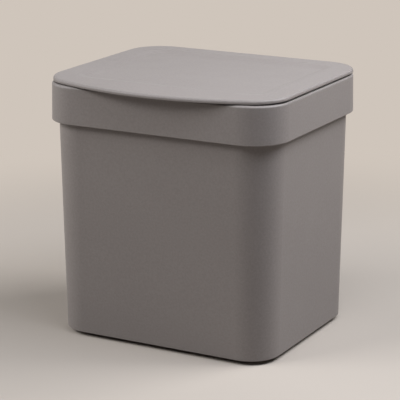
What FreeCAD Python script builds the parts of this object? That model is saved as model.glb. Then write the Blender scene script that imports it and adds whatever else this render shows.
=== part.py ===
import FreeCAD, Part
import math
import os
import Sketcher
from FreeCAD import Placement, Rotation, Vector

# A countertop waste bin: a drafted bucket, a lift-off collar over its rim and a hinged lid.
# Millimetres, +Z up, the front of the bin towards -Y. The origin is on the counter, under the
# middle of the bucket.

DIMENSIONS = {
    # Bucket, measured outside the wall at the rim. It narrows evenly towards the floor.
    "rim_width": 192.9,
    "rim_depth": 160.3,
    "rim_corner": 28.0,
    "bucket_height": 196.4,
    "bucket_taper": 3.74,
    "bucket_wall": 2.0,
    "floor_thickness": 2.6,
    "floor_edge_chamfer": 0.5,
    "floor_inner_radius": 7.0,
    "rim_band_height": 6.0,
    "rim_band_proud": 0.8,
    "base_panel_inset": 38.0,
    "base_panel_corner": 12.0,
    "base_panel_depth": 0.8,
    # Feet in shallow wells under the floor. The floor stands this far off the counter.
    "foot_height": 3.2,
    "foot_radius": 7.0,
    "foot_well_depth": 1.0,
    "foot_inset": 21.0,
    "foot_clearance": 0.1,
    "foot_edge_chamfer": 0.6,
    # Collar: an inverted channel that sits on the rim and covers the bag's folded edge.
    "collar_clearance": 0.55,
    "collar_wall": 2.2,
    "collar_top_thickness": 2.2,
    "collar_height": 29.6,
    "collar_flare": 0.55,
    "collar_corner_ease": 2.55,
    "collar_edge_radius": 1.8,
    "collar_hem_chamfer": 0.4,
    "bag_room": 1.2,
    "lip_drop": 14.0,
    "lip_wall": 1.8,
    "lip_taper": 0.2,
    "mouth_edge_chamfer": 0.6,
    # Lid: a thin plate with a deeper edge, flush with the collar at the sides and the back.
    "lid_gap": 1.6,
    "lid_edge_height": 2.8,
    "lid_plate": 2.0,
    "lid_edge_width": 2.0,
    "lid_edge_radius": 2.0,
    "lid_overhang": 9.4,
    "front_bow": 20.5,
    "front_corner": 28.5,
    "front_drop": 1.3,
    "front_drop_run": 48.0,
    "recess_side_margin": 25.5,
    "recess_front_margin": 38.1,
    "recess_back_margin": 23.7,
    "recess_corner": 6.0,
    "recess_depth": 1.9,
    "recess_wall_run": 8.0,
    "recess_edge_radius": 15.0,
    "skirt_clearance": 1.5,
    "skirt_wall": 1.6,
    "skirt_depth": 3.8,
    # Hinge: ears on the collar's back wall, knuckles on the lid, one pin on each side.
    "hinge_offset": 4.65,
    "hinge_drop": 4.8,
    "hinge_spacing": 110.0,
    "knuckle_width": 14.0,
    "knuckle_radius": 3.6,
    "knuckle_top_drop": 1.3,
    "knuckle_back_drop": 3.0,
    "knuckle_back_radius": 2.5,
    "ear_thickness": 4.0,
    "ear_radius": 3.6,
    "ear_gusset": 8.0,
    "hinge_side_clearance": 0.3,
    "pin_radius": 1.75,
    "pin_chamfer": 0.3,
    "pin_running_clearance": 0.05,
    "pin_seat_clearance": 0.02,
    # Buffers: soft buttons that hold the lid off the collar.
    "buffer_radius": 2.7,
    "buffer_edge_chamfer": 0.4,
    "buffer_stem_radius": 1.3,
    "buffer_stem_length": 1.0,
    "buffer_clearance": 0.05,
    "buffer_inset": 5.0,
    "buffer_front_inset": 55.1,
    "buffer_rear_inset": 33.7,
    # Cuts reach past the faces that they open by this much.
    "overrun": 2.0,
}

# Sizes that follow from the driving dimensions.
WORKED = {
    "base_width": "Size.rim_width - 2 * Size.bucket_taper",
    "base_depth": "Size.rim_depth - 2 * Size.bucket_taper",
    "rim_height": "Size.foot_height + Size.bucket_height",
    "floor_top": "Size.foot_height + Size.floor_thickness",
    "bucket_draft": "atan(Size.bucket_taper / Size.bucket_height)",
    "foot_x": "base_width / 2 - Size.foot_inset",
    "foot_y": "base_depth / 2 - Size.foot_inset",
    "collar_step": "Size.rim_band_proud + Size.collar_clearance + Size.collar_wall",
    "collar_width": "Size.rim_width + 2 * collar_step",
    "collar_depth": "Size.rim_depth + 2 * collar_step",
    "collar_corner": "Size.rim_corner + collar_step - Size.collar_corner_ease",
    "collar_top": "rim_height + Size.collar_top_thickness",
    "collar_bottom": "collar_top - Size.collar_height",
    "collar_draft": "atan(Size.collar_flare / Size.collar_height)",
    "lip_step": "Size.bucket_wall + Size.bag_room",
    "lip_width": "Size.rim_width - 2 * lip_step",
    "lip_depth": "Size.rim_depth - 2 * lip_step",
    "lip_corner": "Size.rim_corner - lip_step",
    "lip_draft": "atan(Size.lip_taper / Size.lip_drop)",
    "mouth_width": "lip_width - 2 * Size.lip_wall",
    "mouth_depth": "lip_depth - 2 * Size.lip_wall",
    "mouth_corner": "lip_corner - Size.lip_wall",
    "lid_bottom": "collar_top + Size.lid_gap",
    "lid_top": "lid_bottom + Size.lid_edge_height",
    "lid_underside": "lid_top - Size.lid_plate",
    "lid_back": "collar_depth / 2",
    "lid_front": "collar_depth / 2 + Size.lid_overhang",
    "front_arc": "((collar_width / 2) ^ 2 + Size.front_bow ^ 2) / (2 * Size.front_bow)",
    "drop_start": "lid_front - Size.front_drop_run",
    "drop_arc": "(Size.front_drop_run ^ 2 + Size.front_drop ^ 2) / (2 * Size.front_drop)",
    "recess_width": "collar_width - 2 * Size.recess_side_margin",
    "recess_length": "lid_back + lid_front - Size.recess_back_margin - Size.recess_front_margin",
    "recess_middle": "lid_back - Size.recess_back_margin - recess_length / 2",
    "recess_floor": "lid_top - Size.recess_depth",
    "recess_wall_angle": "atan(Size.recess_wall_run / Size.recess_depth)",
    "skirt_width": "mouth_width - 2 * Size.skirt_clearance",
    "skirt_length": "mouth_depth - 2 * Size.skirt_clearance",
    "skirt_corner": "mouth_corner - Size.skirt_clearance",
    "hinge_x": "Size.hinge_spacing / 2",
    "hinge_y": "lid_back + Size.hinge_offset",
    "hinge_z": "collar_top - Size.hinge_drop",
    "ear_room": "Size.knuckle_width / 2 + Size.hinge_side_clearance",
    "pin_length": "2 * (ear_room + Size.ear_thickness)",
    "buffer_x": "collar_width / 2 - Size.buffer_inset",
    "buffer_front": "lid_front - Size.buffer_front_inset",
    "buffer_rear": "lid_back - Size.buffer_rear_inset",
    "buffer_height": "lid_underside - collar_top",
}

# The backing under the lid's recess reaches this share of the plate's thickness into the plate.
BACKING_SHARE = 0.25
# Two measured places closer than this are the same place.
SAME_PLACE = 1e-4

SIDES = {"left": -1, "right": 1}
ENDS = {"front": -1, "rear": 1}

doc = FreeCAD.newDocument("countertop_waste_bin")


def fill_sheet(name, entries, prefix):
    """Write one alias and one cell for each entry of a table."""
    sheet = doc.addObject("Spreadsheet::Sheet", name)
    for row, (alias, content) in enumerate(entries.items(), start=1):
        sheet.set(f"A{row}", alias)
        sheet.set(f"B{row}", f"{prefix}{content}")
        sheet.setAlias(f"B{row}", alias)
    doc.recompute()
    return sheet


size_sheet = fill_sheet("Size", DIMENSIONS, "")
fill_sheet("Worked", WORKED, "=")


def number(expression):
    """Return the value of an expression on the sheets, in millimetres or degrees."""
    result = size_sheet.evalExpression(expression)
    return float(getattr(result, "Value", result))


def same(place, expression):
    """Tell whether a measured place is the one that an expression gives."""
    return abs(place - number(expression)) < SAME_PLACE


# Helpers for sketches.

def line_between(start, end):
    """Return a straight sketch line."""
    return Part.LineSegment(Vector(*start, 0), Vector(*end, 0))


def arc_between(centre, radius, start, end):
    """Return a counter-clockwise sketch arc between two angles in degrees."""
    circle = Part.Circle(Vector(*centre, 0), Vector(0, 0, 1), radius)
    return Part.ArcOfCircle(circle, math.radians(start), math.radians(end))


def plane_of(body, role):
    """Return one of a body's own origin planes."""
    return next(item for item in body.Origin.OriginFeatures if item.Role == role)


def body_sketch(body, name, role, offset="0"):
    """Lay a sketch in a body on an origin plane, moved along the plane's normal."""
    sketch = body.newObject("Sketcher::SketchObject", name)
    sketch.AttachmentSupport = (plane_of(body, role), [""])
    sketch.MapMode = "FlatFace"
    sketch.setExpression("AttachmentOffset.Base.z", offset)
    return sketch


def free_sketch(name, side_view=False):
    """Make a sketch outside any body, in plan or in the side view along X."""
    sketch = doc.addObject("Sketcher::SketchObject", name)
    if side_view:
        turn = Rotation(Vector(0, 1, 0), Vector(0, 0, 1), Vector(1, 0, 0), "XYZ")
        sketch.Placement = Placement(Vector(0, 0, 0), turn)
    return sketch


def rule(sketch, kind, *elements):
    """Add a geometric constraint to a sketch."""
    sketch.addConstraint(Sketcher.Constraint(kind, *elements))


def drive(sketch, name, expression, kind, *elements):
    """Add a dimension to a sketch and tie it to an expression."""
    constraint = Sketcher.Constraint(kind, *elements, number(expression))
    index = sketch.addConstraint(constraint)
    sketch.renameConstraint(index, name)
    sketch.setExpression(f"Constraints.{name}", expression)


def join_smoothly(sketch, chain):
    """Make each element of a closed chain tangent to the next, end to start."""
    for element, following in zip(chain, chain[1:] + chain[:1]):
        rule(sketch, "Tangent", element, 2, following, 1)


def rounded_rectangle(sketch, name, width, depth, corner):
    """Draw a rounded rectangle about the sketch's origin, driven by three expressions."""
    right = number(width) / 2
    back = number(depth) / 2
    bend = number(corner)
    inner_x = right - bend
    inner_y = back - bend
    chain = [
        sketch.addGeometry(line_between((-inner_x, -back), (inner_x, -back))),
        sketch.addGeometry(arc_between((inner_x, -inner_y), bend, 270, 360)),
        sketch.addGeometry(line_between((right, -inner_y), (right, inner_y))),
        sketch.addGeometry(arc_between((inner_x, inner_y), bend, 0, 90)),
        sketch.addGeometry(line_between((inner_x, back), (-inner_x, back))),
        sketch.addGeometry(arc_between((-inner_x, inner_y), bend, 90, 180)),
        sketch.addGeometry(line_between((-right, inner_y), (-right, -inner_y))),
        sketch.addGeometry(arc_between((-inner_x, -inner_y), bend, 180, 270)),
    ]
    front_line, front_right, right_line, back_right, back_line, back_left, left_line, front_left = chain
    join_smoothly(sketch, chain)
    for level in (front_line, back_line):
        rule(sketch, "Horizontal", level)
    for upright in (left_line, right_line):
        rule(sketch, "Vertical", upright)
    for other in (back_right, back_left, front_left):
        rule(sketch, "Equal", front_right, other)
    rule(sketch, "Symmetric", front_left, 3, back_right, 3, -1, 1)
    drive(sketch, f"{name}_corner", corner, "Radius", front_right)
    drive(sketch, f"{name}_width", width, "DistanceX", left_line, 1, right_line, 1)
    drive(sketch, f"{name}_depth", depth, "DistanceY", front_line, 1, back_line, 1)


def driven_circle(sketch, name, radius, across="0", up="0"):
    """Draw a circle of a driven size at a driven place."""
    centre = Vector(number(across), number(up), 0)
    index = sketch.addGeometry(Part.Circle(centre, Vector(0, 0, 1), number(radius)))
    drive(sketch, f"{name}_across", across, "DistanceX", -1, 1, index, 3)
    drive(sketch, f"{name}_up", up, "DistanceY", -1, 1, index, 3)
    drive(sketch, f"{name}_radius", radius, "Radius", index)


def four_circles(sketch, radius, across, front, rear):
    """Draw the same circle near each corner, at left and right and at front and rear."""
    for side, x_sign in SIDES.items():
        driven_circle(sketch, f"front_{side}", radius, f"{x_sign} * {across}", f"-1 * {front}")
        driven_circle(sketch, f"rear_{side}", radius, f"{x_sign} * {across}", rear)


def lid_outline(sketch, inset):
    """Draw the lid seen from above: straight sides and back, and a bowed front."""
    half_width = f"Worked.collar_width / 2 - {inset}"
    back_edge = f"Worked.lid_back - {inset}"
    back_corner = f"Worked.collar_corner - {inset}"
    front_corner = f"Size.front_corner - {inset}"
    front_arc = f"Worked.front_arc - {inset}"
    arc_centre = "Worked.front_arc - Worked.lid_front"
    right = number(half_width)
    back = number(back_edge)
    back_bend = number(back_corner)
    front_bend = number(front_corner)
    bow = number(front_arc)
    bow_y = number(arc_centre)
    bend_x = right - front_bend
    bend_y = bow_y - math.sqrt((bow - front_bend) ** 2 - bend_x ** 2)
    turn = math.degrees(math.atan2(bend_y - bow_y, bend_x))
    inner_x = right - back_bend
    inner_y = back - back_bend
    chain = [
        sketch.addGeometry(arc_between((0, bow_y), bow, 180 - turn, 360 + turn)),
        sketch.addGeometry(arc_between((bend_x, bend_y), front_bend, turn, 0)),
        sketch.addGeometry(line_between((right, bend_y), (right, inner_y))),
        sketch.addGeometry(arc_between((inner_x, inner_y), back_bend, 0, 90)),
        sketch.addGeometry(line_between((inner_x, back), (-inner_x, back))),
        sketch.addGeometry(arc_between((-inner_x, inner_y), back_bend, 90, 180)),
        sketch.addGeometry(line_between((-right, inner_y), (-right, bend_y))),
        sketch.addGeometry(arc_between((-bend_x, bend_y), front_bend, 180, 180 - turn)),
    ]
    front, front_right, right_line, back_right, back_line, back_left, left_line, front_left = chain
    join_smoothly(sketch, chain)
    rule(sketch, "Horizontal", back_line)
    rule(sketch, "Vertical", right_line)
    rule(sketch, "Vertical", left_line)
    rule(sketch, "Equal", front_right, front_left)
    rule(sketch, "Equal", back_right, back_left)
    rule(sketch, "PointOnObject", front, 3, -2)
    drive(sketch, "right", half_width, "DistanceX", -1, 1, right_line, 1)
    drive(sketch, "left", f"-({half_width})", "DistanceX", -1, 1, left_line, 1)
    drive(sketch, "back", back_edge, "DistanceY", -1, 1, back_line, 1)
    drive(sketch, "back_corner", back_corner, "Radius", back_right)
    drive(sketch, "front_corner", front_corner, "Radius", front_right)
    drive(sketch, "front_arc", front_arc, "Radius", front)
    drive(sketch, "arc_centre", arc_centre, "DistanceY", -1, 1, front, 3)


def drooping_strip(sketch, upper, lower):
    """Draw the lid's side view between two depths under its top, which falls at the front."""
    back_end = "Worked.lid_back + Size.overrun"
    front_end = "Worked.lid_front + Size.overrun"
    back = number(back_end)
    front = -number(front_end)
    start = -number("Worked.drop_start")
    centre_z = number("Worked.lid_top - Worked.drop_arc")
    ends = []
    for depth in (upper, lower):
        radius = number(f"Worked.drop_arc - ({depth})")
        fall = math.degrees(math.acos((front - start) / radius))
        level = centre_z + radius
        tip = (front, centre_z + radius * math.sin(math.radians(fall)))
        flat = sketch.addGeometry(line_between((back, level), (start, level)))
        curve = sketch.addGeometry(arc_between((start, centre_z), radius, 90, fall))
        rule(sketch, "Horizontal", flat)
        rule(sketch, "Tangent", flat, 2, curve, 1)
        ends.append((flat, curve, (back, level), tip))
    (top_flat, top_curve, top_back, top_tip), (low_flat, low_curve, low_back, low_tip) = ends
    back_line = sketch.addGeometry(line_between(low_back, top_back))
    front_line = sketch.addGeometry(line_between(top_tip, low_tip))
    for upright in (back_line, front_line):
        rule(sketch, "Vertical", upright)
    rule(sketch, "Coincident", back_line, 2, top_flat, 1)
    rule(sketch, "Coincident", back_line, 1, low_flat, 1)
    rule(sketch, "Coincident", front_line, 1, top_curve, 2)
    rule(sketch, "Coincident", front_line, 2, low_curve, 2)
    rule(sketch, "Coincident", top_curve, 3, low_curve, 3)
    drive(sketch, "back_end", back_end, "DistanceX", -1, 1, back_line, 1)
    drive(sketch, "front_end", f"-({front_end})", "DistanceX", -1, 1, front_line, 1)
    drive(sketch, "drop_start", "-Worked.drop_start", "DistanceX", -1, 1, top_curve, 3)
    drive(sketch, "top", f"Worked.lid_top - ({upper})", "DistanceY", -1, 1, top_flat, 1)
    drive(sketch, "upper_arc", f"Worked.drop_arc - ({upper})", "Radius", top_curve)
    drive(sketch, "lower_arc", f"Worked.drop_arc - ({lower})", "Radius", low_curve)


# Helpers for solids.

def new_body(label):
    """Start a sub-part."""
    body = doc.addObject("PartDesign::Body", label)
    body.Label = label
    return body


def extrude(body, kind, name, sketch, length, reverse=False, both_ways=False, taper="0"):
    """Pad or pocket a sketch by a driven length, with an optional driven draft."""
    feature = body.newObject(f"PartDesign::{kind}", name)
    feature.Profile = sketch
    feature.setExpression("Length", length)
    feature.setExpression("TaperAngle", taper)
    feature.Reversed = reverse
    feature.SideType = "Symmetric" if both_ways else "One side"
    doc.recompute()
    return feature


def mirror(body, name, originals):
    """Repeat features on the other side of the bin."""
    feature = body.newObject("PartDesign::Mirrored", name)
    feature.Originals = originals
    feature.MirrorPlane = (plane_of(body, "YZ_Plane"), [""])
    body.Tip = feature
    doc.recompute()
    return feature


def edges_where(feature, test):
    """Name the edges of a feature whose ends and middle all pass a test."""
    names = []
    for index, edge in enumerate(feature.Shape.Edges, start=1):
        middle = edge.valueAt((edge.FirstParameter + edge.LastParameter) / 2)
        points = [vertex.Point for vertex in edge.Vertexes] + [middle]
        if all(test(point) for point in points):
            names.append(f"Edge{index}")
    return names


def ease_edges(body, kind, name, test, size):
    """Round or chamfer the edges of the last feature that pass a test."""
    base = body.Tip
    feature = body.newObject(f"PartDesign::{kind}", name)
    feature.Base = (base, edges_where(base, test))
    feature.setExpression("Radius" if kind == "Fillet" else "Size", size)
    doc.recompute()
    return feature


def at_height(expression):
    """Return a test for points at one height."""
    return lambda point: same(point.z, expression)


def put(body, x, y, z):
    """Place a sub-part by three expressions."""
    body.setExpression("Placement.Base.x", x)
    body.setExpression("Placement.Base.y", y)
    body.setExpression("Placement.Base.z", z)


# Bucket.

def make_bucket():
    """Model the drafted bucket with its rim band, foot wells and base panel."""
    body = new_body("bucket")
    outline = body_sketch(body, "bucket_rim", "XY_Plane", "Worked.rim_height")
    rounded_rectangle(outline, "rim", "Size.rim_width", "Size.rim_depth", "Size.rim_corner")
    draft = "-Worked.bucket_draft"
    height = "Size.bucket_height"
    extrude(body, "Pad", "bucket_outside", outline, height, reverse=True, taper=draft)
    under_floor = at_height("Size.foot_height")
    ease_edges(body, "Chamfer", "bucket_floor_edge", under_floor, "Size.floor_edge_chamfer")

    band = body_sketch(body, "bucket_band_outline", "XY_Plane", "Worked.rim_height")
    proud = "2 * Size.rim_band_proud"
    band_corner = "Size.rim_corner + Size.rim_band_proud"
    band_width = f"Size.rim_width + {proud}"
    band_depth = f"Size.rim_depth + {proud}"
    rounded_rectangle(band, "band", band_width, band_depth, band_corner)
    extrude(body, "Pad", "bucket_band", band, "Size.rim_band_height", reverse=True)

    inside = body_sketch(body, "bucket_inside", "XY_Plane", "Worked.rim_height")
    walls = "2 * Size.bucket_wall"
    inside_corner = "Size.rim_corner - Size.bucket_wall"
    inside_width = f"Size.rim_width - {walls}"
    inside_depth = f"Size.rim_depth - {walls}"
    rounded_rectangle(inside, "inside", inside_width, inside_depth, inside_corner)
    depth = "Size.bucket_height - Size.floor_thickness"
    extrude(body, "Pocket", "bucket_hollow", inside, depth, taper=draft)
    on_floor = at_height("Worked.floor_top")
    ease_edges(body, "Fillet", "bucket_inner_floor", on_floor, "Size.floor_inner_radius")

    wells = body_sketch(body, "bucket_foot_wells", "XY_Plane", "Size.foot_height")
    well_radius = "Size.foot_radius + Size.foot_clearance"
    four_circles(wells, well_radius, "Worked.foot_x", "Worked.foot_y", "Worked.foot_y")
    extrude(body, "Pocket", "bucket_wells", wells, "Size.foot_well_depth", reverse=True)

    panel = body_sketch(body, "bucket_base_panel", "XY_Plane", "Size.foot_height")
    inset = "2 * Size.base_panel_inset"
    panel_width = f"Worked.base_width - {inset}"
    panel_depth = f"Worked.base_depth - {inset}"
    rounded_rectangle(panel, "panel", panel_width, panel_depth, "Size.base_panel_corner")
    extrude(body, "Pocket", "bucket_panel", panel, "Size.base_panel_depth", reverse=True)
    return body


def make_foot(side, end):
    """Model one soft foot, seated in its well under the floor."""
    label = f"foot_{end}_{side}"
    body = new_body(label)
    outline = body_sketch(body, f"{label}_outline", "XY_Plane")
    driven_circle(outline, "foot", "Size.foot_radius")
    height = "Size.foot_height + Size.foot_well_depth"
    extrude(body, "Pad", f"{label}_pad", outline, height)
    ease_edges(body, "Chamfer", f"{label}_edge", at_height("0"), "Size.foot_edge_chamfer")
    put(body, f"{SIDES[side]} * Worked.foot_x", f"{ENDS[end]} * Worked.foot_y", "0")
    return body


# Collar.

def ear_profile(sketch):
    """Draw a hinge ear in side view: a round end about the pin and a gusset under it."""
    root = "Worked.lid_back - Size.collar_wall / 2"
    foot = "Worked.hinge_z - Size.ear_gusset"
    root_y = number(root)
    foot_z = number(foot)
    pin = (number("Worked.hinge_y"), number("Worked.hinge_z"))
    radius = number("Size.ear_radius")
    reach = math.dist(pin, (root_y, foot_z))
    heading = math.degrees(math.atan2(foot_z - pin[1], root_y - pin[0]))
    touch = heading + math.degrees(math.acos(radius / reach))
    round_end = arc_between(pin, radius, touch, 90)
    touch_point = (round_end.StartPoint.x, round_end.StartPoint.y)
    top = pin[1] + radius
    gusset = sketch.addGeometry(line_between((root_y, foot_z), touch_point))
    tip = sketch.addGeometry(round_end)
    top_line = sketch.addGeometry(line_between((pin[0], top), (root_y, top)))
    root_line = sketch.addGeometry(line_between((root_y, top), (root_y, foot_z)))
    rule(sketch, "Tangent", gusset, 2, tip, 1)
    rule(sketch, "Tangent", tip, 2, top_line, 1)
    rule(sketch, "Coincident", top_line, 2, root_line, 1)
    rule(sketch, "Coincident", root_line, 2, gusset, 1)
    rule(sketch, "Horizontal", top_line)
    rule(sketch, "Vertical", root_line)
    drive(sketch, "pin_y", "Worked.hinge_y", "DistanceX", -1, 1, tip, 3)
    drive(sketch, "pin_z", "Worked.hinge_z", "DistanceY", -1, 1, tip, 3)
    drive(sketch, "radius", "Size.ear_radius", "Radius", tip)
    drive(sketch, "root", root, "DistanceX", -1, 1, root_line, 1)
    drive(sketch, "foot", foot, "DistanceY", -1, 1, gusset, 1)


def on_mouth_edge(point):
    """Tell whether a point is on the upper edge of the collar's mouth."""
    within_width = abs(point.x) < number("Worked.mouth_width") / 2 + SAME_PLACE
    within_depth = abs(point.y) < number("Worked.mouth_depth") / 2 + SAME_PLACE
    return same(point.z, "Worked.collar_top") and within_width and within_depth


def make_collar():
    """Model the collar: skirt, top, bag lip and the hinge ears at its back."""
    body = new_body("collar")
    outline = body_sketch(body, "collar_outline", "XY_Plane", "Worked.collar_top")
    corner = "Worked.collar_corner"
    rounded_rectangle(outline, "collar", "Worked.collar_width", "Worked.collar_depth", corner)
    flare = "Worked.collar_draft"
    extrude(body, "Pad", "collar_outside", outline, "Size.collar_height", reverse=True, taper=flare)
    on_top = at_height("Worked.collar_top")
    ease_edges(body, "Fillet", "collar_top_edge", on_top, "Size.collar_edge_radius")
    on_hem = at_height("Worked.collar_bottom")
    ease_edges(body, "Chamfer", "collar_hem", on_hem, "Size.collar_hem_chamfer")

    channel = body_sketch(body, "collar_channel", "XY_Plane", "Worked.rim_height")
    walls = "2 * Size.collar_wall"
    channel_corner = f"{corner} - Size.collar_wall"
    channel_width = f"Worked.collar_width - {walls}"
    channel_depth = f"Worked.collar_depth - {walls}"
    rounded_rectangle(channel, "channel", channel_width, channel_depth, channel_corner)
    extrude(body, "Pocket", "collar_inside", channel, "Size.collar_height", taper=flare)

    lip = body_sketch(body, "collar_lip_outline", "XY_Plane", "Worked.rim_height")
    rounded_rectangle(lip, "lip", "Worked.lip_width", "Worked.lip_depth", "Worked.lip_corner")
    lip_taper = "-Worked.lip_draft"
    extrude(body, "Pad", "collar_lip", lip, "Size.lip_drop", reverse=True, taper=lip_taper)

    mouth = body_sketch(body, "collar_mouth_outline", "XY_Plane", "Worked.collar_top")
    mouth_corner = "Worked.mouth_corner"
    rounded_rectangle(mouth, "mouth", "Worked.mouth_width", "Worked.mouth_depth", mouth_corner)
    extrude(body, "Pocket", "collar_mouth", mouth, "Size.collar_height")
    ease_edges(body, "Chamfer", "collar_mouth_edge", on_mouth_edge, "Size.mouth_edge_chamfer")

    ears = []
    inner_start = "Worked.hinge_x - Worked.ear_room - Size.ear_thickness"
    for name, start in (("inner", inner_start), ("outer", "Worked.hinge_x + Worked.ear_room")):
        profile = body_sketch(body, f"collar_{name}_ear_profile", "YZ_Plane", start)
        ear_profile(profile)
        ears.append(extrude(body, "Pad", f"collar_{name}_ear", profile, "Size.ear_thickness"))
    mirror(body, "collar_left_ears", ears)

    bore = body_sketch(body, "collar_pin_bore", "YZ_Plane")
    bore_radius = "Size.pin_radius + Size.pin_seat_clearance"
    driven_circle(bore, "pin", bore_radius, "Worked.hinge_y", "Worked.hinge_z")
    extrude(body, "Pocket", "collar_pin_bores", bore, "Worked.collar_width", both_ways=True)
    return body


# Lid.

def prism(name, sketch, along, length, symmetric=False):
    """Extrude a free sketch to a solid."""
    feature = doc.addObject("Part::Extrusion", name)
    feature.Base = sketch
    feature.DirMode = "Custom"
    feature.Dir = along
    feature.Solid = True
    feature.Symmetric = symmetric
    feature.setExpression("LengthFwd", length)
    return feature


def combine(kind, name, base, tool):
    """Make a boolean of two solids."""
    feature = doc.addObject(f"Part::{kind}", name)
    feature.Base = base
    feature.Tool = tool
    return feature


def plan_prism(name, sketch):
    """Extrude a plan outline from the counter to above the lid."""
    return prism(name, sketch, Vector(0, 0, 1), "Worked.lid_top + Size.overrun")


def side_prism(name, upper, lower):
    """Extrude a strip of the lid's side view across the whole lid."""
    sketch = free_sketch(f"{name}_profile", side_view=True)
    drooping_strip(sketch, upper, lower)
    across = "Worked.collar_width + 2 * Size.overrun"
    return prism(name, sketch, Vector(1, 0, 0), across, symmetric=True)


def make_lid_blank():
    """Cut the lid's plate, its hollow underside and its skirt out of plan and side prisms."""
    outline = free_sketch("lid_outline")
    lid_outline(outline, "0")
    plan = plan_prism("lid_plan", outline)
    strip = side_prism("lid_strip", "0", "Size.lid_edge_height")
    plate = combine("Common", "lid_full_plate", plan, strip)

    inner = free_sketch("lid_inner_outline")
    lid_outline(inner, "Size.lid_edge_width")
    inner_plan = plan_prism("lid_inner_plan", inner)
    below_edge = "Size.lid_edge_height + Size.overrun"
    under_strip = side_prism("lid_under_strip", "Size.lid_plate", below_edge)
    hollow = combine("Common", "lid_hollow", inner_plan, under_strip)
    shell = combine("Cut", "lid_shell", plate, hollow)

    ring_plans = []
    for name, inset in (("outer", "0"), ("inner", "2 * Size.skirt_wall")):
        ring = free_sketch(f"lid_skirt_{name}")
        width = f"Worked.skirt_width - {inset}"
        length = f"Worked.skirt_length - {inset}"
        rounded_rectangle(ring, "skirt", width, length, f"Worked.skirt_corner - {inset} / 2")
        ring_plans.append(plan_prism(f"lid_skirt_{name}_plan", ring))
    ring_wall = combine("Cut", "lid_skirt_wall", *ring_plans)
    skirt_end = "Size.lid_plate + Size.skirt_depth"
    skirt_strip = side_prism("lid_skirt_strip", "Size.lid_plate / 2", skirt_end)
    skirt = combine("Common", "lid_skirt", ring_wall, skirt_strip)
    blank = combine("Fuse", "lid_blank", shell, skirt)
    doc.recompute()
    return blank


def recess_outline(body, name, level):
    """Lay out the floor of the recess at a height, seen from above."""
    sketch = body_sketch(body, name, "XY_Plane", level)
    sketch.setExpression("AttachmentOffset.Base.y", "Worked.recess_middle")
    width = "Worked.recess_width"
    length = "Worked.recess_length"
    rounded_rectangle(sketch, "recess", width, length, "Size.recess_corner")
    return sketch


def knuckle_profile(sketch):
    """Draw a knuckle in side view: round under the pin in front, with a square heel behind."""
    radius = number("Size.knuckle_radius")
    pin_y = number("Worked.hinge_y")
    pin_z = number("Worked.hinge_z")
    root = "Worked.lid_back - Size.lid_edge_width / 2"
    root_top = "Worked.lid_top - Size.knuckle_top_drop"
    back_top = f"{root_top} - Size.knuckle_back_drop"
    root_y = number(root)
    under = number("Worked.lid_bottom")
    corners = [
        (pin_y, pin_z - radius),
        (pin_y + radius, pin_z - radius),
        (pin_y + radius, number(back_top)),
        (root_y, number(root_top)),
        (root_y, under),
        (pin_y - radius, under),
        (pin_y - radius, pin_z),
    ]
    lines = [sketch.addGeometry(line_between(*pair)) for pair in zip(corners, corners[1:])]
    heel, back, top, root_line, under_line, front = lines
    barrel = sketch.addGeometry(arc_between((pin_y, pin_z), radius, 180, 270))
    for element, following in zip(lines, lines[1:]):
        rule(sketch, "Coincident", element, 2, following, 1)
    rule(sketch, "Tangent", front, 2, barrel, 1)
    rule(sketch, "Tangent", barrel, 2, heel, 1)
    for level in (heel, under_line):
        rule(sketch, "Horizontal", level)
    for upright in (back, root_line, front):
        rule(sketch, "Vertical", upright)
    drive(sketch, "pin_y", "Worked.hinge_y", "DistanceX", -1, 1, barrel, 3)
    drive(sketch, "pin_z", "Worked.hinge_z", "DistanceY", -1, 1, barrel, 3)
    drive(sketch, "radius", "Size.knuckle_radius", "Radius", barrel)
    drive(sketch, "heel", "Size.knuckle_radius", "DistanceX", barrel, 3, heel, 2)
    drive(sketch, "root", root, "DistanceX", -1, 1, root_line, 1)
    drive(sketch, "root_top", root_top, "DistanceY", -1, 1, root_line, 1)
    drive(sketch, "back_top", back_top, "DistanceY", -1, 1, back, 2)
    drive(sketch, "under", "Worked.lid_bottom", "DistanceY", -1, 1, under_line, 1)


def on_lid_top_edge(point):
    """Tell whether a point is on the lid's upper outer edge, which falls at the front."""
    fall = max(0, -point.y - number("Worked.drop_start"))
    arc = number("Worked.drop_arc")
    level = number("Worked.lid_top") - arc + math.sqrt(arc ** 2 - fall ** 2)
    return abs(point.z - level) < SAME_PLACE


def in_recess(point, margin):
    """Tell whether a point is over the recess floor or within a margin around it."""
    across = number(f"Worked.recess_width / 2 + {margin}")
    along = number(f"Worked.recess_length / 2 + {margin}")
    inside_width = abs(point.x) < across + SAME_PLACE
    return inside_width and abs(point.y - number("Worked.recess_middle")) < along + SAME_PLACE


def on_recess_edge(point):
    """Tell whether a point is on the edge of the recess floor or on the rim of the recess."""
    if same(point.z, "Worked.recess_floor"):
        return in_recess(point, "0")
    return on_lid_top_edge(point) and in_recess(point, "Size.recess_wall_run")


def on_knuckle_back(point):
    """Tell whether a point is on the upper back edge of a knuckle."""
    back = "Worked.hinge_y + Size.knuckle_radius"
    top = "Worked.lid_top - Size.knuckle_top_drop - Size.knuckle_back_drop"
    return same(point.y, back) and same(point.z, top)


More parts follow.
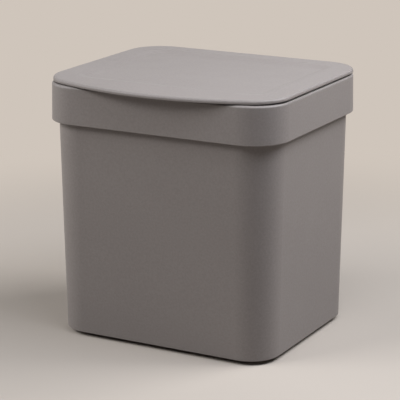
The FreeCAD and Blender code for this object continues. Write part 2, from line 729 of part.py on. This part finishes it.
def make_lid():
    """Model the lid: plate, skirt, dished recess, hinge knuckles and buffer wells."""
    body = new_body("lid")
    body.BaseFeature = make_lid_blank()
    doc.recompute()
    ease_edges(body, "Fillet", "lid_top_edge", on_lid_top_edge, "Size.lid_edge_radius")

    wall_angle = "Worked.recess_wall_angle"
    backing = recess_outline(body, "lid_backing_floor", "Worked.recess_floor - Size.lid_plate")
    backing_height = f"Size.recess_depth + {BACKING_SHARE} * Size.lid_plate"
    extrude(body, "Pad", "lid_backing", backing, backing_height, taper=wall_angle)
    floor = recess_outline(body, "lid_recess_floor", "Worked.recess_floor")
    height = "Size.recess_depth + Size.overrun"
    extrude(body, "Pocket", "lid_recess", floor, height, reverse=True, taper=wall_angle)
    ease_edges(body, "Fillet", "lid_recess_edges", on_recess_edge, "Size.recess_edge_radius")

    knuckle_start = "Worked.hinge_x - Size.knuckle_width / 2"
    knuckle = body_sketch(body, "lid_knuckle_profile", "YZ_Plane", knuckle_start)
    knuckle_profile(knuckle)
    right_knuckle = extrude(body, "Pad", "lid_right_knuckle", knuckle, "Size.knuckle_width")
    mirror(body, "lid_left_knuckle", [right_knuckle])
    ease_edges(body, "Fillet", "lid_knuckle_backs", on_knuckle_back, "Size.knuckle_back_radius")
    bore = body_sketch(body, "lid_pin_bore", "YZ_Plane")
    bore_radius = "Size.pin_radius + Size.pin_running_clearance"
    driven_circle(bore, "pin", bore_radius, "Worked.hinge_y", "Worked.hinge_z")
    extrude(body, "Pocket", "lid_pin_bores", bore, "Worked.collar_width", both_ways=True)

    wells = body_sketch(body, "lid_buffer_wells", "XY_Plane", "Worked.lid_underside")
    well_radius = "Size.buffer_stem_radius + Size.buffer_clearance"
    four_circles(wells, well_radius, "Worked.buffer_x", "Worked.buffer_front", "Worked.buffer_rear")
    well_depth = "Size.buffer_stem_length + Size.buffer_clearance"
    extrude(body, "Pocket", "lid_wells", wells, well_depth, reverse=True)
    return body


def make_buffer(side, end):
    """Model one soft button: a head on the collar's top and a stem in the lid."""
    label = f"lid_buffer_{end}_{side}"
    body = new_body(label)
    head = body_sketch(body, f"{label}_head_outline", "XY_Plane")
    driven_circle(head, "head", "Size.buffer_radius")
    extrude(body, "Pad", f"{label}_head", head, "Worked.buffer_height")
    ease_edges(body, "Chamfer", f"{label}_edge", at_height("0"), "Size.buffer_edge_chamfer")
    stem = body_sketch(body, f"{label}_stem_outline", "XY_Plane", "Worked.buffer_height")
    driven_circle(stem, "stem", "Size.buffer_stem_radius")
    extrude(body, "Pad", f"{label}_stem", stem, "Size.buffer_stem_length")
    places = {"front": "-Worked.buffer_front", "rear": "Worked.buffer_rear"}
    put(body, f"{SIDES[side]} * Worked.buffer_x", places[end], "Worked.collar_top")
    return body


def on_pin_end(point):
    """Tell whether a point is at either end of a pin laid about its own middle."""
    return same(abs(point.x), "Worked.pin_length / 2")


def make_pin(side):
    """Model one hinge pin, as long as its two ears are wide apart outside."""
    label = f"hinge_pin_{side}"
    body = new_body(label)
    outline = body_sketch(body, f"{label}_outline", "YZ_Plane")
    driven_circle(outline, "pin", "Size.pin_radius")
    extrude(body, "Pad", f"{label}_rod", outline, "Worked.pin_length", both_ways=True)
    ease_edges(body, "Chamfer", f"{label}_ends", on_pin_end, "Size.pin_chamfer")
    put(body, f"{SIDES[side]} * Worked.hinge_x", "Worked.hinge_y", "Worked.hinge_z")
    return body


sub_parts = [make_bucket(), make_collar(), make_lid()]
for side in SIDES:
    sub_parts.append(make_pin(side))
    for end in ENDS:
        sub_parts.append(make_foot(side, end))
        sub_parts.append(make_buffer(side, end))
doc.recompute()

for item in doc.Objects:
    if {"Invalid", "Error"} & set(item.State):
        raise RuntimeError(f"{item.Label} did not compute")
for sub_part in sub_parts:
    shape = sub_part.Shape
    if shape.isNull() or not shape.isValid() or len(shape.Solids) != 1:
        raise RuntimeError(f"{sub_part.Label} is not one valid solid")

os.makedirs("parts", exist_ok=True)
for sub_part in sub_parts:
    sub_part.Shape.exportStep(os.path.join("parts", f"{sub_part.Label}.step"))
    print(f"{sub_part.Label}: {sub_part.Shape.Volume:.1f} cubic millimetres")
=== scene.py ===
"""Looks of a countertop waste bin: finishes, soft rubber fittings, studio light and the camera."""

import logging
import math
from dataclasses import dataclass
from enum import Enum
from typing import Any, Sequence

import bmesh
import bpy
from mathutils import Matrix, Vector

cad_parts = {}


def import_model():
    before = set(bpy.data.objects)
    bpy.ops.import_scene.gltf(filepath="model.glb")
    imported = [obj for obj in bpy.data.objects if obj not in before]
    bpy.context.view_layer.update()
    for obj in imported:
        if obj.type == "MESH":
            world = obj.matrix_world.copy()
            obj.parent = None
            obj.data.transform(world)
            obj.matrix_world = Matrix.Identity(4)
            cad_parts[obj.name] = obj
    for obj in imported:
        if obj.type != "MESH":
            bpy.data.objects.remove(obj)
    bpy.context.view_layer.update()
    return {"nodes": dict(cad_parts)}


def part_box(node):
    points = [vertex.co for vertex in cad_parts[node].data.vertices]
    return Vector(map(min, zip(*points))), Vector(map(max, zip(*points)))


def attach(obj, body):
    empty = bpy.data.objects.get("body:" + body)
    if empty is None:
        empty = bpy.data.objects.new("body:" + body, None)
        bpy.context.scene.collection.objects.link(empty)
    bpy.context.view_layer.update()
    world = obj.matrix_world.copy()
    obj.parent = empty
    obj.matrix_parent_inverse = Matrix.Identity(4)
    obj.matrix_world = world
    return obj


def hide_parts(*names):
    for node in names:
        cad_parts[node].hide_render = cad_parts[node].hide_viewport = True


LOG = logging.getLogger("waste_bin")
MM = 0.001
MERGE_MM = 0.001


class Slot(Enum):
    """The record's material slots."""

    PLASTIC = "moulded_plastic"
    RUBBER = "soft_rubber"
    STEEL = "pin_steel"


class Side(Enum):
    """The left or the right of the bin, seen from its front."""

    LEFT = "left"
    RIGHT = "right"


class End(Enum):
    """The front or the rear of the bin."""

    FRONT = "front"
    REAR = "rear"


def linear(hex_colour: str) -> tuple[float, float, float, float]:
    """Turn an sRGB hex colour to the linear colour that a shader takes.

    Args:
        hex_colour: Six hex digits after a hash.

    Returns:
        Red, green, blue and an alpha of one.
    """
    channels = [int(hex_colour[place:place + 2], 16) / 255 for place in (1, 3, 5)]
    red, green, blue = (
        share / 12.92 if share <= 0.04045 else ((share + 0.055) / 1.055) ** 2.4 for share in channels
    )
    return red, green, blue, 1.0


def direction(azimuth: float, elevation: float) -> Vector:
    """Point from the bin to a place around it.

    Args:
        azimuth: Degrees from the bin's front, counted to its right.
        elevation: Degrees above the level.

    Returns:
        A vector of length one.
    """
    turn = math.radians(azimuth)
    rise = math.radians(elevation)
    level = math.cos(rise)
    return Vector((math.sin(turn) * level, -math.cos(turn) * level, math.sin(rise)))


def add_node(
    tree: bpy.types.NodeTree,
    kind: str,
    settings: dict[str, Any] | None = None,
    inputs: dict[str | int, Any] | None = None,
) -> bpy.types.Node:
    """Add a shader node, set it up and link it.

    Args:
        tree: The node tree that gets the node.
        kind: The node's type, without the ShaderNode that every type starts with.
        settings: The node's own properties.
        inputs: For each input, a plain value or the output socket to link.

    Returns:
        The new node.
    """
    node = tree.nodes.new(f"ShaderNode{kind}")
    for name, value in (settings or {}).items():
        setattr(node, name, value)
    for name, value in (inputs or {}).items():
        if isinstance(value, bpy.types.NodeSocket):
            tree.links.new(value, node.inputs[name])
        else:
            node.inputs[name].default_value = value
    return node


def add_clouds(
    tree: bpy.types.NodeTree,
    place: bpy.types.NodeSocket,
    size_mm: float,
    detail: float,
    harshness: float = 0.5,
) -> bpy.types.NodeSocket:
    """Add a cloudy pattern.

    Args:
        tree: The node tree that gets it.
        place: The place on the piece.
        size_mm: The width of a cloud.
        detail: How many finer layers it has.
        harshness: How strong each finer layer is against the one before.

    Returns:
        The pattern's factor.
    """
    scale = 1 / (size_mm * MM)
    clouds = add_node(
        tree,
        "TexNoise",
        inputs={"Vector": place, "Scale": scale, "Detail": detail, "Roughness": harshness},
    )
    return clouds.outputs["Fac"]


def mix_colours(
    tree: bpy.types.NodeTree, factor: bpy.types.NodeSocket, first: str, second: str
) -> bpy.types.NodeSocket:
    """Blend from a first to a second sRGB hex colour by a factor."""
    blend = add_node(
        tree,
        "Mix",
        settings={"data_type": "RGBA"},
        inputs={"Factor": factor, "A": linear(first), "B": linear(second)},
    )
    return blend.outputs["Result"]


def add_relief(
    tree: bpy.types.NodeTree, height: bpy.types.NodeSocket, depth_mm: float
) -> bpy.types.NodeSocket:
    """Turn a pattern to a relief of a real depth."""
    relief = add_node(
        tree, "Bump", inputs={"Strength": 1.0, "Distance": depth_mm * MM, "Height": height}
    )
    return relief.outputs["Normal"]


def empty_material(name: str) -> bpy.types.Material:
    """Make a material with no nodes yet."""
    material = bpy.data.materials.new(name)
    material.use_nodes = True
    material.node_tree.nodes.clear()
    return material


def end_material(tree: bpy.types.NodeTree, inputs: dict[str | int, Any]) -> None:
    """Close a material's tree with its shader and output."""
    shader = add_node(tree, "BsdfPrincipled", inputs=inputs)
    add_node(tree, "OutputMaterial", inputs={"Surface": shader.outputs["BSDF"]})


def dress(piece: bpy.types.Object, material: bpy.types.Material) -> None:
    """Give a piece one material in place of those that it has."""
    piece.data.materials.clear()
    piece.data.materials.append(material)


@dataclass(frozen=True)
class MouldedPolypropylene:
    """Polypropylene moulded in a spark-eroded tool: a dull, even skin with a very fine grain."""

    name: str
    colour: str
    pale_colour: str
    roughness: float = 0.50
    roughness_spread: float = 0.06
    index: float = 1.49
    grain_mm: float = 1.7
    grain_detail: float = 3.0
    grain_harshness: float = 0.75
    grain_depth_mm: float = 0.06
    grain_share: float = 0.8
    flow_mm: float = 70.0
    flow_detail: float = 2.0
    sheen_mm: float = 26.0
    sheen_detail: float = 3.0

    def make(self) -> bpy.types.Material:
        """Build the material."""
        material = empty_material(self.name)
        tree = material.node_tree
        place = add_node(tree, "TexCoord").outputs["Object"]
        # The melt flowed unevenly, so the tone drifts a little over a hand's width.
        flow = add_clouds(tree, place, self.flow_mm, self.flow_detail)
        # The tool's grain is about a third of a millimetre. It is drawn coarser, so that it shows.
        grain = add_clouds(tree, place, self.grain_mm, self.grain_detail, self.grain_harshness)
        tone = add_node(tree, "Mix", inputs={"Factor": self.grain_share, "A": flow, "B": grain})
        # The tool's skin is not equally dull everywhere.
        sheen = add_clouds(tree, place, self.sheen_mm, self.sheen_detail)
        roughness = add_node(
            tree,
            "MapRange",
            inputs={
                "Value": sheen,
                "To Min": self.roughness - self.roughness_spread,
                "To Max": self.roughness + self.roughness_spread,
            },
        )
        end_material(
            tree,
            {
                "Base Color": mix_colours(tree, tone.outputs["Result"], self.colour, self.pale_colour),
                "Roughness": roughness.outputs["Result"],
                "IOR": self.index,
                "Normal": add_relief(tree, grain, self.grain_depth_mm),
            },
        )
        return material


@dataclass(frozen=True)
class PressedRubber:
    """Black rubber pressed in a hot mould: dull, with a thin grey bloom that comes to its skin."""

    name: str
    colour: str
    bloom_colour: str
    roughness: float = 0.76
    index: float = 1.52
    bloom_mm: float = 2.5
    bloom_detail: float = 4.0
    skin_mm: float = 0.5
    skin_depth_mm: float = 0.02

    def make(self) -> bpy.types.Material:
        """Build the material."""
        material = empty_material(self.name)
        tree = material.node_tree
        place = add_node(tree, "TexCoord").outputs["Object"]
        # The bloom lies in patches, so the black looks a little dusty.
        bloom = add_clouds(tree, place, self.bloom_mm, self.bloom_detail)
        # The mould's pebbled skin breaks up the shine. It is drawn coarser, so that it shows.
        skin = add_node(
            tree, "TexVoronoi", inputs={"Vector": place, "Scale": 1 / (self.skin_mm * MM)}
        )
        end_material(
            tree,
            {
                "Base Color": mix_colours(tree, bloom, self.colour, self.bloom_colour),
                "Roughness": self.roughness,
                "IOR": self.index,
                "Normal": add_relief(tree, skin.outputs["Distance"], self.skin_depth_mm),
            },
        )
        return material


@dataclass(frozen=True)
class DrawnSteel:
    """Stainless rod pulled through a die: bright, with fine lines that run along the pin."""

    name: str
    colour: str
    line_colour: str
    roughness: float = 0.30
    line_mm: float = 0.25
    line_detail: float = 3.0
    line_length_mm: float = 12.0
    line_depth_mm: float = 0.006

    def make(self) -> bpy.types.Material:
        """Build the material."""
        material = empty_material(self.name)
        tree = material.node_tree
        place = add_node(tree, "TexCoord").outputs["Object"]
        # The die's lines stretch the shine along the pin. They are drawn coarser, so that they show.
        along = self.line_mm / self.line_length_mm
        stretched = add_node(tree, "Mapping", inputs={"Vector": place, "Scale": (along, 1, 1)})
        lines = add_clouds(tree, stretched.outputs["Vector"], self.line_mm, self.line_detail)
        end_material(
            tree,
            {
                "Base Color": mix_colours(tree, lines, self.line_colour, self.colour),
                "Metallic": 1.0,
                "Roughness": self.roughness,
                "Normal": add_relief(tree, lines, self.line_depth_mm),
            },
        )
        return material


@dataclass(frozen=True)
class TurnedShape:
    """A round piece: an outline of radii and heights in millimetres, spun about an upright axis."""

    outline: Sequence[tuple[float, float]]
    edge_round: float
    steps: int = 64
    round_steps: int = 4
    edge_angle: float = 30.0

    def spin(self) -> bmesh.types.BMesh:
        """Spin the outline to a closed shape and round its edges.

        Returns:
            The shape, standing on the origin.
        """
        shape = bmesh.new()
        corners = [shape.verts.new((radius * MM, 0, height * MM)) for radius, height in self.outline]
        lines = [shape.edges.new(pair) for pair in zip(corners, corners[1:])]
        bmesh.ops.spin(
            shape,
            geom=corners + lines,
            cent=(0, 0, 0),
            axis=(0, 0, 1),
            angle=math.tau,
            steps=self.steps,
            use_merge=True,
        )
        bmesh.ops.remove_doubles(shape, verts=shape.verts, dist=MERGE_MM * MM)
        bmesh.ops.recalc_face_normals(shape, faces=shape.faces)
        limit = math.radians(self.edge_angle)
        bmesh.ops.bevel(
            shape,
            geom=[edge for edge in shape.edges if edge.calc_face_angle(0) > limit],
            offset=self.edge_round * MM,
            offset_type="OFFSET",
            segments=self.round_steps,
            profile=0.5,
            affect="EDGES",
            clamp_overlap=True,
            material=-1,
        )
        return shape


def place_piece(
    shape: bmesh.types.BMesh,
    node: str,
    body: str,
    material: bpy.types.Material,
    turn: Matrix | None = None,
) -> None:
    """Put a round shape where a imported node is, let it stand for the node and move with its body.

    Args:
        shape: The shape, standing on the origin, which is used up.
        node: The node whose place it takes, and whose name it carries.
        body: The body that it rides on.
        material: Its finish.
        turn: A turn about the shape's own middle.
    """
    low, high = (Vector(corner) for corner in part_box(node))
    heights = [vertex.co.z for vertex in shape.verts]
    middle = Vector((0, 0, (min(heights) + max(heights)) / 2))
    bmesh.ops.translate(shape, verts=shape.verts, vec=-middle)
    if turn:
        bmesh.ops.transform(shape, matrix=turn, verts=shape.verts)
    bmesh.ops.translate(shape, verts=shape.verts, vec=(low + high) / 2)
    mesh = bpy.data.meshes.new(f"{node}_turned")
    shape.to_mesh(mesh)
    shape.free()
    mesh.shade_smooth()
    piece = bpy.data.objects.new(f"{node}_turned", mesh)
    bpy.context.scene.collection.objects.link(piece)
    dress(piece, material)
    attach(piece, body)
    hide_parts(node)
    LOG.info("%s built", piece.name)


@dataclass
class Bucket:
    """The bucket and the four rubber feet pressed into wells under its floor."""

    plastic: bpy.types.Material
    rubber: bpy.types.Material
    foot_radius: float = 7.0
    foot_height: float = 4.2
    foot_round: float = 0.25
    cup_radius: float = 3.4
    cup_depth: float = 0.4

    def build(self, nodes: dict[str, bpy.types.Object]) -> None:
        """Dress the bucket and build its feet.

        Args:
            nodes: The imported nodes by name.
        """
        dress(nodes["bucket"], self.plastic)
        LOG.info("bucket dressed")
        for side in Side:
            for end in End:
                node = f"foot_{end.value}_{side.value}"
                place_piece(self.foot().spin(), node, "bucket", self.rubber)

    def foot(self) -> TurnedShape:
        """Outline a foot, with a shallow cup in its tread so that it grips."""
        return TurnedShape(
            outline=(
                (0, self.cup_depth),
                (self.cup_radius, self.cup_depth),
                (self.cup_radius + self.cup_depth, 0),
                (self.foot_radius, 0),
                (self.foot_radius, self.foot_height),
                (0, self.foot_height),
            ),
            edge_round=self.foot_round,
        )


@dataclass
class Collar:
    """The lift-off collar and the two steel pins in the ears at its back."""

    plastic: bpy.types.Material
    steel: bpy.types.Material
    pin_radius: float = 1.75
    pin_length: float = 22.6
    pin_round: float = 0.3

    def build(self, nodes: dict[str, bpy.types.Object]) -> None:
        """Dress the collar and build its hinge pins.

        Args:
            nodes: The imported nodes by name.
        """
        dress(nodes["collar"], self.plastic)
        LOG.info("collar dressed")
        lying = Matrix.Rotation(math.pi / 2, 4, "Y")
        for side in Side:
            node = f"hinge_pin_{side.value}"
            place_piece(self.pin().spin(), node, "collar", self.steel, lying)

    def pin(self) -> TurnedShape:
        """Outline a pin, with its cut ends tumbled round."""
        return TurnedShape(
            outline=(
                (0, 0),
                (self.pin_radius, 0),
                (self.pin_radius, self.pin_length),
                (0, self.pin_length),
            ),
            edge_round=self.pin_round,
        )


@dataclass
class Lid:
    """The hinged lid and the four rubber buttons that hold it off the collar."""

    plastic: bpy.types.Material
    rubber: bpy.types.Material
    head_radius: float = 2.7
    head_height: float = 2.4
    head_round: float = 0.25
    stem_radius: float = 1.3
    stem_length: float = 1.0
    button_steps: int = 48

    def build(self, nodes: dict[str, bpy.types.Object]) -> None:
        """Dress the lid and build its buttons.

        Args:
            nodes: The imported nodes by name.
        """
        dress(nodes["lid"], self.plastic)
        LOG.info("lid dressed")
        for side in Side:
            for end in End:
                node = f"lid_buffer_{end.value}_{side.value}"
                place_piece(self.button().spin(), node, "lid", self.rubber)

    def button(self) -> TurnedShape:
        """Outline a button: a head that meets the collar and a stem in the lid."""
        top = self.head_height + self.stem_length
        return TurnedShape(
            outline=(
                (0, 0),
                (self.head_radius, 0),
                (self.head_radius, self.head_height),
                (self.stem_radius, self.head_height),
                (self.stem_radius, top),
                (0, top),
            ),
            edge_round=self.head_round,
            steps=self.button_steps,
        )


@dataclass(frozen=True)
class PhotoCamera:
    """The camera as it stood for the photograph, worked out from the bin's own edges."""

    azimuth: float = 28.577
    elevation: float = 15.226
    roll: float = -0.116
    distance_mm: float = 1420.4
    aim_height_mm: float = 101.0
    aim_right_mm: float = -3.385
    aim_up_mm: float = 0.9
    focal_pixels: float = 1785.7
    frame_pixels: float = 400.0
    sensor_mm: float = 36.0

    def place(self) -> None:
        """Make the camera and let the scene use it."""
        azimuth = math.radians(self.azimuth)
        back = direction(self.azimuth, self.elevation)
        right = Vector((math.cos(azimuth), math.sin(azimuth), 0))
        up = back.cross(right)
        aim = Vector((0, 0, self.aim_height_mm)) + right * self.aim_right_mm + up * self.aim_up_mm
        turn = Matrix((right, up, back)).transposed() @ Matrix.Rotation(math.radians(self.roll), 3, "Z")
        data = bpy.data.cameras.new("photo_camera")
        data.sensor_width = self.sensor_mm
        data.lens = self.sensor_mm * self.focal_pixels / self.frame_pixels
        camera = bpy.data.objects.new("photo_camera", data)
        camera.matrix_world = Matrix.Translation((aim + back * self.distance_mm) * MM) @ turn.to_4x4()
        bpy.context.scene.collection.objects.link(camera)
        bpy.context.scene.camera = camera


@dataclass(frozen=True)
class Softbox:
    """A flat studio lamp aimed at the bin. Its strength is its brightness where white paper is one."""

    name: str
    azimuth: float
    elevation: float
    distance: float
    width: float
    height: float
    strength: float
    colour: str = "#FFFFFF"
    aim_height: float = 0.1

    def place(self) -> None:
        """Make the lamp."""
        back = direction(self.azimuth, self.elevation)
        data = bpy.data.lights.new(self.name, "AREA")
        data.shape = "RECTANGLE"
        data.size = self.width
        data.size_y = self.height
        data.energy = self.strength * math.pi * self.width * self.height
        data.color = linear(self.colour)[:3]
        lamp = bpy.data.objects.new(self.name, data)
        lamp.location = Vector((0, 0, self.aim_height)) + back * self.distance
        lamp.rotation_mode = "QUATERNION"
        lamp.rotation_quaternion = (-back).to_track_quat("-Z", "Y")
        bpy.context.scene.collection.objects.link(lamp)


@dataclass(frozen=True)
class Studio:
    """A plain pale floor under soft lamps, with an even pale room around them."""

    lamps: tuple[Softbox, ...]
    floor_colour: str = "#C1B8AF"
    bounce_colour: str = "#8C857F"
    far_colour: str = "#CFC5BB"
    room_colour: str = "#BFBEBD"
    fill_colour: str = "#FFFFFF"
    fill_strength: float = 0.02
    floor_roughness: float = 0.9
    floor_reach: float = 9.0
    lit_reach: float = 0.22
    far_reach: float = 0.6

    def place(self) -> None:
        """Make the floor, the room's light and the lamps."""
        bpy.context.scene.view_settings.view_transform = "Standard"
        self.lay_floor()
        self.light_room()
        for lamp in self.lamps:
            lamp.place()

    def lay_floor(self) -> None:
        """Lay the floor that the bin stands on."""
        bpy.ops.mesh.primitive_plane_add(size=2 * self.floor_reach)
        floor = bpy.context.object
        floor.name = "studio_floor"
        dress(floor, self.floor_paint())

    def floor_paint(self) -> bpy.types.Material:
        """Build the floor's pale matt paint."""
        material = empty_material("painted_floor")
        tree = material.node_tree
        sight = self.seen(tree)
        # The floor looks pale to the eye and throws back less light, so that the shadows stay clear.
        colour = mix_colours(tree, sight, self.bounce_colour, self.floor_colour)
        paint = add_node(
            tree, "BsdfPrincipled", inputs={"Base Color": colour, "Roughness": self.floor_roughness}
        )
        # Beyond the lamps' reach the floor is seen as an even pale ground, which lights nothing.
        place = add_node(tree, "TexCoord").outputs["Object"]
        away = add_node(tree, "VectorMath", settings={"operation": "LENGTH"}, inputs={0: place})
        fade = add_node(
            tree,
            "MapRange",
            settings={"interpolation_type": "SMOOTHSTEP"},
            inputs={
                "Value": away.outputs["Value"],
                "From Min": self.lit_reach,
                "From Max": self.far_reach,
            },
        )
        share = add_node(
            tree,
            "Math",
            settings={"operation": "MULTIPLY"},
            inputs={0: fade.outputs["Result"], 1: sight},
        )
        ground = add_node(
            tree, "Emission", inputs={"Color": linear(self.far_colour), "Strength": 1.0}
        )
        mix = add_node(
            tree,
            "MixShader",
            inputs={0: share.outputs[0], 1: paint.outputs["BSDF"], 2: ground.outputs[0]},
        )
        add_node(tree, "OutputMaterial", inputs={"Surface": mix.outputs[0]})
        return material

    def light_room(self) -> None:
        """Give the room an even light, and let eye and gloss see pale walls."""
        world = bpy.data.worlds.new("studio_room")
        bpy.context.scene.world = world
        world.use_nodes = True
        tree = world.node_tree
        tree.nodes.clear()
        fill = add_node(
            tree,
            "Background",
            inputs={"Color": linear(self.fill_colour), "Strength": self.fill_strength},
        )
        walls = add_node(tree, "Background", inputs={"Color": linear(self.room_colour), "Strength": 1.0})
        mix = add_node(
            tree,
            "MixShader",
            inputs={0: self.seen(tree), 1: fill.outputs[0], 2: walls.outputs[0]},
        )
        add_node(tree, "OutputWorld", inputs={"Surface": mix.outputs[0]})

    def seen(self, tree: bpy.types.NodeTree) -> bpy.types.NodeSocket:
        """Tell eye, gloss and glass from the rays that carry light.

        Args:
            tree: The node tree that asks.

        Returns:
            A socket that is one for a ray of sight and zero for a ray of light.
        """
        path = add_node(tree, "LightPath").outputs
        sight = path["Is Camera Ray"]
        for ray in ("Is Transmission Ray", "Is Glossy Ray"):
            either = add_node(
                tree, "Math", settings={"operation": "MAXIMUM"}, inputs={0: sight, 1: path[ray]}
            )
            sight = either.outputs[0]
        return sight


SOFTBOXES = (
    Softbox("front_left_softbox", -44.0, 40.0, 1.9, 1.0, 0.65, 8.4),
    Softbox("front_right_softbox", 62.0, 69.0, 0.7, 0.4, 0.27, 5.4, "#F6F9FF"),
    Softbox("high_right_softbox", 86.0, 52.0, 0.8, 0.45, 0.3, 4.4, "#EAF2FF"),
    Softbox("back_right_softbox", 125.0, 46.0, 1.3, 0.7, 0.6, 7.6),
    Softbox("left_softbox", -77.0, 17.0, 1.3, 0.6, 0.5, 3.2),
)
PLASTIC = MouldedPolypropylene("moulded_polypropylene_taupe", "#827A77", "#A09996")
RUBBER = PressedRubber("pressed_rubber_black", "#2B2A29", "#343231")
STEEL = DrawnSteel("drawn_stainless_steel", "#C9C8C5", "#A9A8A5")


def main() -> None:
    """Load the frame, dress it and light it."""
    logging.basicConfig(level=logging.INFO, format="%(name)s: %(message)s")
    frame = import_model()
    plastic = PLASTIC.make()
    rubber = RUBBER.make()
    steel = STEEL.make()
    for part in (Bucket(plastic, rubber), Collar(plastic, steel), Lid(plastic, rubber)):
        part.build(frame["nodes"])
    Studio(SOFTBOXES).place()
    PhotoCamera().place()


if __name__ == "__main__":
    main()
